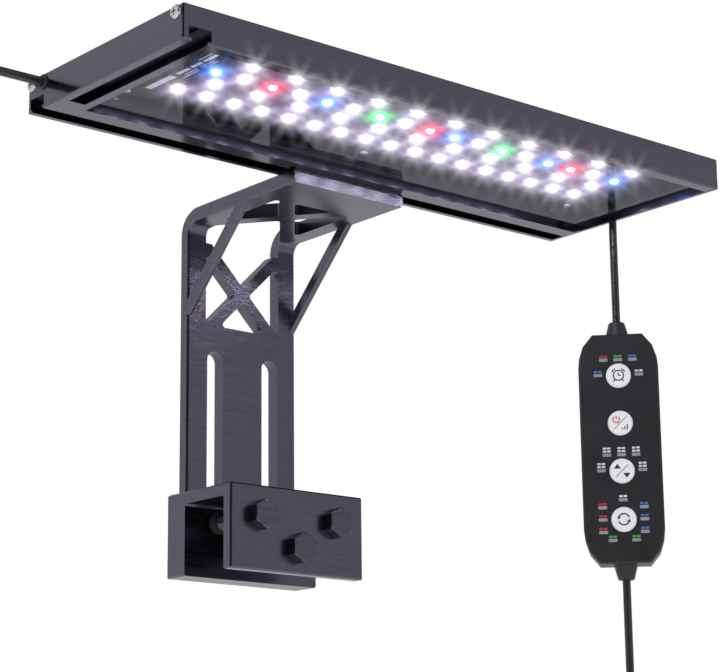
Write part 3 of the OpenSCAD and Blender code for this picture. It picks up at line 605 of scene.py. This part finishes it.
# The plug's grip with its ribbed strain relief and ridges, then its barrel, as radius and depth
plug_profile = [(2.0, 0), (2.75, 0.2)]
for rib in range(5):
    at = 1.2 + 1.7 * rib
    size = 2.8 + 0.09 * at
    plug_profile += [(size, at), (size, at + 0.9), (size - 0.45, at + 1.0), (size - 0.45, at + 1.6)]
plug_profile += [(3.5, 9.6), (4.7, 10.6), (4.95, 11.2), (4.95, 23.9), (4.8, 24.6), (4.3, 25), (2.9, 25)]
grip = Build().add(*lathe(plug_profile, 64), plug_place)
RIDGES, RIDGE_RADIUS = 10, 4.85
ridge = lathe([(0.25, -0.9), (0.36, -0.6), (0.36, 0.6), (0.25, 0.9)], 10)
for k in range(RIDGES):
    a = 2 * math.pi * k / RIDGES
    for z in range(3):
        middle = Vector((RIDGE_RADIUS * math.cos(a), RIDGE_RADIUS * math.sin(a), 14 + z * 3.2))
        grip.add(*ridge, lambda p, at=middle: plug_place(at + Vector((p.x * 0.4, p.y * 0.4, p.z))))
plug_body = grip.piece("plug_grip", case_finish, "lamp", "case_plastic")
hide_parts("dc_plug_body")
barrel_profile = [(1.05, 25), (1.05, 34.1), (1.25, 34.5), (2.35, 34.5), (2.75, 34.1), (2.75, 30.4),
                  (2.62, 30.3), (2.62, 29.9), (2.75, 29.8), (2.75, 25)]
barrel = Build().add(*lathe(barrel_profile, 64, closed=True), plug_place)
plug_barrel = barrel.piece("plug_barrel", nickel, "lamp", "nickel")
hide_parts("dc_plug_barrel")

# ---------------------------------------------------------------- finishes of the CAD parts

FINISH = {
    anodised: ("clamp_body", "bracket"),
    housing_metal: ("lamp_housing", "left_end_block", "right_end_cap"),
    black_steel: ("column_washers",),
    zinc: ("board_screws", "end_block_screws", "end_cap_screws", "controller_screws"),
    black_rubber: ("screw_pad_left", "screw_pad_middle", "screw_pad_right", "cover_seal"),
    board_black: ("led_board",),
    cover_finish: ("lens_cover",),
    pad_finish: ("thermal_pad",),
    grey_plastic: ("cable_gland",),
    wire_finish: ("lead_wires",),
    ivory: ("wire_connector",),
    case_finish: ("controller_front", "controller_back", "top_relief", "bottom_relief"),
    circuit_green: ("controller_board",),
    window_finish: ("indicator_lights",),
    chip_finish: ("tact_switches",),
    white_plastic: ("button_1", "button_2", "button_3", "button_4"),
}
PACKAGE_STRENGTH = 0.4
for kind, (colour, edge) in LIGHTS.items():
    FINISH[lit(kind + "_package", edge, PACKAGE_STRENGTH, edge)] = (kind + "_leds",)
for finish, names in FINISH.items():
    for name in names:
        mesh = nodes[name].data
        if not mesh.materials:
            mesh.materials.append(finish)
        for i in range(len(mesh.materials)):
            mesh.materials[i] = finish

# ---------------------------------------------------------------- screws

# Of M8: height of the head, length of a clamping screw, width across the flats, radius and pitch
HEAD, SCREW_LENGTH, FLATS, SHANK, PITCH = 5, 29.5, 12, 4, 1.25
EDGE_ANGLE = 28                                               # degrees above which an edge stays sharp


def screw_place(seat, out):
    """Places a screw whose head points along out from its seat."""
    turn = Vector((0, 0, 1)).rotation_difference(out).to_matrix()
    return lambda p: seat + turn @ (p * MM)


for side in ("left", "middle", "right"):
    name = "clamp_screw_" + side
    low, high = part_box(name)
    seat = Vector(((low.x + high.x) / 2, low.y + HEAD * MM, (low.z + high.z) / 2))
    place = screw_place(seat, Vector((0, -1, 0)))
    shape = Build().add(*hex_head(FLATS, HEAD), place).add(*threaded(SHANK, PITCH, SCREW_LENGTH), place)
    screw = shape.piece(name + "_threaded", black_steel, "screw_" + side, "black_steel", angle=EDGE_ANGLE)
    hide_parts(name)

low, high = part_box("column_screws")
length = (high.y - low.y) / MM - HEAD
shape = Build()
for x in (low.x + FLATS / 2 * MM, high.x - FLATS / 2 * MM):
    place = screw_place(Vector((x, high.y - HEAD * MM, (low.z + high.z) / 2)), Vector((0, 1, 0)))
    shape.add(*hex_head(FLATS, HEAD), place).add(*threaded(SHANK, PITCH, length), place)
column = shape.piece("column_screws_threaded", black_steel, "clamp", "black_steel", angle=EDGE_ANGLE)
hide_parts("column_screws")

# ---------------------------------------------------------------- lights

# Rows of lights: distance from the lamp's front, place of the first one, spacing and kinds
ROWS = [(25.5, 52.4, 21.8, "W" * 11), (39, 43.9, 14.3, "BWRWBWGWRBWGWBRWB"),
        (51, 52.4, 21.8, "W" * 11), (65, 43.9, 14.3, "W" * 17)]
KINDS = {"W": "white", "R": "red", "G": "green", "B": "blue"}
FACE = 8.5                                                    # height of the packages' faces
BOARD = 10.1                                                  # height of the board's face


def places_of(letter):
    """Where the lights of one kind are."""
    return [(x0 + i * pitch, y) for y, x0, pitch, colours in ROWS
            for i, c in enumerate(colours) if c == letter]


# A small lens on each package, as radius and height, and how brightly each kind is lit
DOME = [(1.86, FACE + 0.4), (1.84, FACE + 0.05), (1.66, FACE - 0.35), (1.3, FACE - 0.7), (0.8, FACE - 0.93),
        (0.3, FACE - 1.0)]
DOME_STRENGTH = {"white": 50, "red": 75, "green": 75, "blue": 75}
for letter, kind in KINDS.items():
    lens = Build()
    for x, y in places_of(letter):
        lens.add(*lathe(DOME, 20), lambda p, x=x, y=y: in_lamp(x + p.x, y + p.y, p.z))
    colour = LIGHTS[kind][0]
    finish = lit(kind + "_dome", colour, DOME_STRENGTH[kind], colour)
    lens.piece(kind + "_domes", finish, "lamp", kind + "_light")

# A sheet of haze over the board's face. Each kind of light adds a near and a far glow to it: colour, then
# strength and reach of the near glow, then of the far one
GLOW = {"white": ((0.74, 0.62, 1.0), 1.2, 3.6, 0.36, 8.6), "red": ((1.0, 0.03, 0.06), 2.2, 4.6, 0.16, 9),
        "green": ((0.03, 0.9, 0.14), 1.7, 4.6, 0.12, 9), "blue": ((0.05, 0.20, 1.0), 2.0, 4.6, 0.2, 9)}
HAZE_FROM, HAZE_TO, HAZE_STEP, HAZE_FADE = (28.0, 11.0), (289.0, 80.6), 1.2, 5.0
HAZE_Z = FACE - 0.04
HAZE_REACH = 30                                               # how far from a light its glow is counted


def glow_at(x, y):
    """Colour and strength of the haze at a spot on the board."""
    total = Vector((0, 0, 0))
    for letter, kind in KINDS.items():
        colour, near, near_reach, far, far_reach = GLOW[kind]
        for px, py in places_of(letter):
            d = (px - x) ** 2 + (py - y) ** 2
            if d < HAZE_REACH ** 2:
                amount = near * math.exp(-d / near_reach ** 2) + far * math.exp(-d / far_reach ** 2)
                total += Vector(colour) * amount
    inside = min(x - HAZE_FROM[0], HAZE_TO[0] - x, y - HAZE_FROM[1], HAZE_TO[1] - y) / HAZE_FADE
    total *= max(0.0, min(1.0, inside))
    strength = min(1.0, max(total))
    return (*(min(1.0, c) / max(strength, 1e-4) for c in total), strength)


sheet = Build()
columns = int((HAZE_TO[0] - HAZE_FROM[0]) / HAZE_STEP) + 1
rows = int((HAZE_TO[1] - HAZE_FROM[1]) / HAZE_STEP) + 1
spots = [(HAZE_FROM[0] + i * HAZE_STEP, HAZE_FROM[1] + j * HAZE_STEP)
         for j in range(rows) for i in range(columns)]
sheet.add([(x, y, HAZE_Z) for x, y in spots],
          [[j * columns + i, j * columns + i + 1, (j + 1) * columns + i + 1, (j + 1) * columns + i]
           for j in range(rows - 1) for i in range(columns - 1)], lambda p: in_lamp(*p))
haze = sheet.piece("light_haze", haze_finish("light_haze"), "lamp", "white_light", smooth=False)
layer = haze.data.color_attributes.new(name="Glow", type="FLOAT_COLOR", domain="POINT")
for entry, (x, y) in zip(layer.data, spots):
    entry.color = glow_at(x, y)

# Small parts on the board, between the rows
random.seed(11)
chips, ends = Build(), Build()
BOX = [(-1, -1, -1), (1, -1, -1), (1, 1, -1), (-1, 1, -1), (-1, -1, 1), (1, -1, 1), (1, 1, 1), (-1, 1, 1)]
BOX_FACES = [[0, 3, 2, 1], [4, 5, 6, 7], [0, 1, 5, 4], [1, 2, 6, 5], [2, 3, 7, 6], [3, 0, 4, 7]]


def block(build, x, y, z, w, d, h, place=in_lamp):
    """A small body with its lower edges drawn in, as moulded chips have."""
    verts = []
    for a, b, c in BOX:
        drawn = 0.9 if c < 0 else 1
        verts.append((x + a * w / 2 * drawn, y + b * d / 2 * drawn, z + c * h / 2))
    build.add(verts, BOX_FACES, lambda p: place(*p))


for i in range(10):
    x = 57 + 22.4 * i + random.uniform(-2, 2)
    for y in (31.5, 58.2):
        block(chips, x, y, BOARD - 0.3, 1.4, 1.2, 0.6)
        for side in (-0.95, 0.95):
            block(ends, x + side, y, BOARD - 0.28, 0.5, 1.25, 0.56)
chips.piece("resistor_bodies", chip_finish, "lamp", "case_plastic", smooth=False)
ends.piece("resistor_ends", zinc, "lamp", "steel", smooth=False)

# Plain marks printed at the board's left end: where each starts, its two ends and its width
MARKS = [(34.4, 57, 75, 3.2), (35.0, 46, 54, 1.9), (35.0, 37.5, 44.5, 1.9), (35.0, 26, 36, 1.9),
         (35.0, 18.5, 24.5, 1.9), (38.2, 44, 53, 0.7), (38.2, 33, 42, 0.7), (39.8, 45, 56, 0.7),
         (39.8, 32, 43, 0.7), (37.6, 22, 24, 1.9), (37.6, 18.5, 20.5, 1.9), (37.6, 15, 17, 1.9),
         (40.2, 15, 24, 0.6), (33.2, 26, 36, 0.5)]
marks = Build()
for x, y0, y1, w in MARKS:
    corners = ((x, y0), (x + w, y0), (x + w, y1), (x, y1))
    marks.add([(*corner, BOARD - 0.03) for corner in corners], [[0, 1, 2, 3]], lambda p: in_lamp(*p))
marks.piece("board_marks", ink_white, "lamp", "white_light", smooth=False)

# ---------------------------------------------------------------- controller

BUTTON_Y = [34.2, 11.4, -11.4, -34.2]
FACE_Z, TOP_Z = 7.5, 8.5                                      # the case's face and the buttons' tops
MARK_Z, ICON_Z = FACE_Z + 0.03, TOP_Z + 0.01
BAR_UP = 1.25                                                 # from a window's middle to the bar above it


def flat(build, outline, z, cy=0.0, thickness=0.05):
    """A thin printed shape on a face of the controller."""
    n = len(outline)
    verts = [(x, y + cy, z) for x, y in outline] + [(x, y + cy, z + thickness) for x, y in outline]
    faces = [list(range(n)), [n + k for k in range(n)]]
    faces += [[k, (k + 1) % n, n + (k + 1) % n, n + k] for k in range(n)]
    build.add(verts, faces, lambda p: in_case(*p))


def arc(build, r, width, start, end, z, cx=0.0, cy=0.0, parts=40):
    """A printed arc or ring."""
    for k in range(parts):
        a, b = (math.radians(start + (end - start) * (k + j) / parts) for j in (0, 1))
        low, high = r - width / 2, r + width / 2
        corners = ((low, a), (high, a), (high, b), (low, b))
        flat(build, [(cx + q * math.cos(t), q * math.sin(t)) for q, t in corners], z, cy)


def line(build, x0, y0, x1, y1, width, z, cy=0.0):
    """A printed straight stroke."""
    along = Vector((x1 - x0, y1 - y0)).normalized() * width / 2
    n = Vector((-along.y, along.x))
    corners = ((x0, y0, -1), (x1, y1, -1), (x1, y1, 1), (x0, y0, 1))
    flat(build, [(x + side * n.x, y + side * n.y) for x, y, side in corners], z, cy)


clock = Build()
arc(clock, 2.4, 0.55, 0, 360, ICON_Z, cy=BUTTON_Y[0])
line(clock, 0, -0.2, 0, 1.5, 0.5, ICON_Z, BUTTON_Y[0])
line(clock, -0.2, 0, 1.2, 0, 0.5, ICON_Z, BUTTON_Y[0])
for s in (-1, 1):
    arc(clock, 3.4, 0.6, 90 + s * 25, 90 + s * 62, ICON_Z, cy=BUTTON_Y[0], parts=12)
    line(clock, s * 1.7, -2.0, s * 2.5, -2.9, 0.55, ICON_Z, BUTTON_Y[0])
clock.piece("clock_icon", ink_dark, "key_1", "case_plastic", smooth=False)

power = Build()
arc(power, 1.5, 0.5, -235, 55, ICON_Z, cx=-1.8, cy=BUTTON_Y[1] + 1.6)
line(power, -1.8, 1.7, -1.8, 3.5, 0.5, ICON_Z, BUTTON_Y[1])
power.piece("power_icon", ink_red, "key_2", "case_plastic", smooth=False)
slash = Build()
line(slash, -2.9, -2.9, 2.9, 2.9, 0.26, ICON_Z, BUTTON_Y[1])
for k in range(3):
    line(slash, 1.0 + k * 1.1, -3.2, 1.0 + k * 1.1, -3.2 + 0.8 * (k + 1), 0.55, ICON_Z, BUTTON_Y[1])
slash.piece("mode_icon", ink_dark, "key_2", "case_plastic", smooth=False)

level = Build()
line(level, -2.9, -2.9, 2.9, 2.9, 0.26, ICON_Z, BUTTON_Y[2])
flat(level, [(-3.8, 1.1), (-0.5, 1.1), (-2.15, 3.3)], ICON_Z, BUTTON_Y[2])
flat(level, [(3.8, -1.1), (0.5, -1.1), (2.15, -3.3)], ICON_Z, BUTTON_Y[2])
level.piece("level_icon", ink_dark, "key_3", "case_plastic", smooth=False)

cycle = Build()
for s in (0, 180):
    arc(cycle, 2.6, 0.6, s + 20, s + 150, ICON_Z, cy=BUTTON_Y[3], parts=20)
    a = math.radians(s + 158)
    across = Vector((math.cos(a), math.sin(a)))
    tip, ahead = across * 2.5, Vector((-across.y, across.x))
    back = tip - ahead * 0.4
    flat(cycle, [tuple(back + across * 0.85), tuple(back - across * 0.85), tuple(tip + ahead * 1.1)],
         ICON_Z, BUTTON_Y[3])
cycle.piece("cycle_icon", ink_dark, "key_4", "case_plastic", smooth=False)

# Windows round a button, across and above its middle
STATUS = [(-6.8, 7.8), (0, 7.8), (6.8, 7.8), (-9.6, 0.5), (9.6, 0.5)]
MODES = [(0, 9.3), (-9.6, 5.8), (-9.6, 0.1), (-9.6, -5.8), (9.6, 5.8), (9.6, 0.1), (9.6, -5.8),
         (-5.4, -9.6), (5.4, -9.6)]
prints = {"red": (Build(), ink_red), "green": (Build(), ink_green), "blue": (Build(), ink_blue),
          "white": (Build(), ink_white)}


def dashes(colour, x, y, height=0.9):
    """Two short plain bars above an indicator window."""
    build = prints[colour][0]
    for a, b in ((-1.8, -0.2), (0.2, 1.8)):
        flat(build, [(x + a, y), (x + b, y), (x + b, y + height), (x + a, y + height)], MARK_Z)


for (x, y), colour in zip(STATUS, ("red", "green", "blue", "blue", "white")):
    dashes(colour, x, y + BUTTON_Y[0] + BAR_UP)
for x, y in STATUS:
    dashes("white", x, y + BUTTON_Y[2] + BAR_UP)
    dashes("white", x, y + BUTTON_Y[2] + 2.7)
MODE_COLOURS = ("white", "red", "red", "red", "blue", "blue", "blue", "green", "green")
for (x, y), colour in zip(MODES, MODE_COLOURS):
    dashes(colour, x, y + BUTTON_Y[3] + BAR_UP)
for colour, (build, ink) in prints.items():
    build.piece("print_" + colour, ink, "lamp", "case_plastic", smooth=False)

# A dark gap line round each button
rings = Build()
for cy in BUTTON_Y:
    arc(rings, 6.0, 0.28, 0, 360, FACE_Z - 0.2, cy=cy, parts=64)
rings.piece("button_gaps", black_rubber, "lamp", "case_plastic", smooth=False)

# ---------------------------------------------------------------- floor, light and background

floor_mesh = bpy.data.meshes.new("floor")
half, floor_z = 6.0, cad_low.z - 0.55                         # low enough for a view from below
corners = ((-half, -half), (half, -half), (half, half), (-half, half))
floor_mesh.from_pydata([(x, y, floor_z) for x, y in corners], [], [[0, 1, 2, 3]])
floor = bpy.data.objects.new("floor", floor_mesh)
bpy.context.scene.collection.objects.link(floor)
paper = Nodes("floor_paper")
floor_mesh.materials.append(paper.done(paper.principled(
    Base_Color=paper.ramp(paper.noise(paper.coords(), 3, 2), [(0.3, 0.80), (0.7, 0.84)]), Roughness=0.9,
    Emission_Color=(1.0, 1.0, 1.0), Emission_Strength=0.38)))

world = bpy.data.worlds.new("studio")
bpy.context.scene.world = world
world.use_nodes = True
tree = world.node_tree
tree.nodes.clear()


def world_node(kind, **settings):
    """Adds a node to the studio's light."""
    node = tree.nodes.new(kind)
    for key, value in settings.items():
        setattr(node, key, value)
    return node


def world_math(operation, a, b):
    """Two numbers or outputs, joined by a sum."""
    node = world_node("ShaderNodeMath", operation=operation)
    for socket, value in zip(node.inputs, (a, b)):
        if isinstance(value, (int, float)):
            socket.default_value = value
        else:
            tree.links.new(value, socket)
    return node.outputs[0]


direction = world_node("ShaderNodeTexCoord").outputs["Generated"]


def patch(towards, inner, outer, amount):
    """A soft round patch of more or less light: full within the inner angle, none past the outer one."""
    dot = world_node("ShaderNodeVectorMath", operation="DOT_PRODUCT")
    tree.links.new(direction, dot.inputs[0])
    dot.inputs[1].default_value = Vector(towards).normalized()
    spread = world_node("ShaderNodeMapRange", interpolation_type="SMOOTHSTEP")
    spread.inputs["From Min"].default_value = math.cos(math.radians(outer))
    spread.inputs["From Max"].default_value = math.cos(math.radians(inner))
    spread.inputs["To Min"].default_value = 0
    spread.inputs["To Max"].default_value = amount
    tree.links.new(dot.outputs["Value"], spread.inputs["Value"])
    return spread.outputs["Result"]


# Where each patch lies, its inner and outer angle in degrees, and how much light it adds
STUDIO = [((-0.63, 0.74, 0.24), 20, 60, 0.45), ((0.63, -0.74, 0.24), 18, 50, 0.27),
          ((0.63, 0.74, -0.24), 25, 65, 0.7), ((-0.74, -0.63, 0.24), 12, 30, -0.5),
          ((0.55, 0.22, 0.80), 15, 42, -0.42)]
EVEN_LIGHT, LEAST_LIGHT = 0.42, 0.07
total = EVEN_LIGHT
for spec in STUDIO:
    total = world_math("ADD", patch(*spec), total)
total = world_math("MAXIMUM", total, LEAST_LIGHT)
soft = world_node("ShaderNodeBackground")
tree.links.new(total, soft.inputs["Strength"])
white = world_node("ShaderNodeBackground")
white.inputs["Strength"].default_value = 1.0
white.inputs["Color"].default_value = (1, 1, 1, 1)
mix = world_node("ShaderNodeMixShader")
tree.links.new(world_node("ShaderNodeLightPath").outputs["Is Camera Ray"], mix.inputs["Fac"])
tree.links.new(soft.outputs[0], mix.inputs[1])
tree.links.new(white.outputs[0], mix.inputs[2])
tree.links.new(mix.outputs[0], world_node("ShaderNodeOutputWorld").inputs["Surface"])


def soft_box(name, at, towards, size, power):
    """A large soft light."""
    data = bpy.data.lights.new(name, "AREA")
    data.shape, data.size, data.energy = "DISK", size, power
    obj = bpy.data.objects.new(name, data)
    bpy.context.scene.collection.objects.link(obj)
    aim = (Vector(towards) - Vector(at)).to_track_quat("-Z", "Y")
    obj.matrix_world = Matrix.Translation(at) @ aim.to_matrix().to_4x4()
    obj.visible_glossy = False


soft_box("key_light", (-1.2, -1.4, 1.1), (0, 0, 0), 1.2, 14)
soft_box("fill_light", (1.4, 1.0, 0.9), (0, 0, 0), 1.4, 8)

# Short stars round the lights, as a camera sees them
GLARE = {"Threshold": 3.0, "Streaks": 8, "Streaks Angle": 0.2, "Iterations": 2, "Fade": 0.62,
         "Strength": 0.13}
scene = bpy.context.scene
scene.use_nodes = True
comp = scene.node_tree
comp.nodes.clear()
layers = comp.nodes.new("CompositorNodeRLayers")
final = comp.nodes.new("CompositorNodeComposite")
star = comp.nodes.new("CompositorNodeGlare")
star.glare_type = "STREAKS"
for key, value in GLARE.items():
    star.inputs[key].default_value = value
comp.links.new(layers.outputs["Image"], star.inputs["Image"])
comp.links.new(star.outputs["Image"], final.inputs["Image"])
scene.view_settings.view_transform = "Standard"
scene.view_settings.look = "None"
